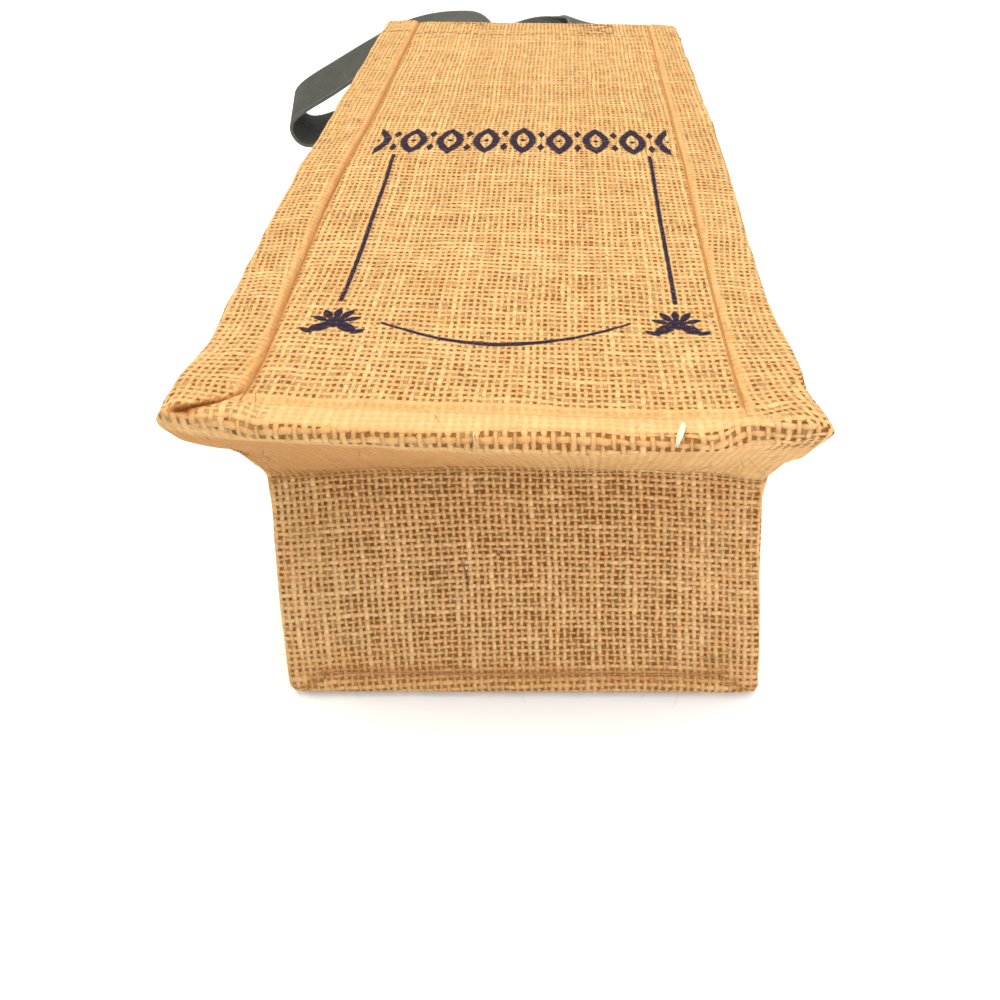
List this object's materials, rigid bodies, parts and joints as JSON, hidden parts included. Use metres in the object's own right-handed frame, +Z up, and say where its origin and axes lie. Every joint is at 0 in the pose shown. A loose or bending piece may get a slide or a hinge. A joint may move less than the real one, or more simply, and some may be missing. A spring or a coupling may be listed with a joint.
{
  "type": "burlap bag",
  "caption": "Small gusseted burlap gift bag with webbing handles, empty and lying on its back with its bottom pushed in.",
  "frame": {"origin": "under the middle of the back panel, on the surface that the bag lies on", "axes": "+Y from the bag's bottom to its mouth, +Z up from the back panel to the front panel, +X to the right of someone who looks at the bottom"},
  "size_m": [0.2292, 0.4913, 0.103],
  "materials": {
    "burlap": "matte",
    "webbing": "matte"
  },
  "bodies": {
    "root": {"front_panel": "burlap", "back_panel": "burlap", "gusset": "burlap", "handle_front": "webbing", "handle_back": "webbing"}
  },
  "joints": []
}
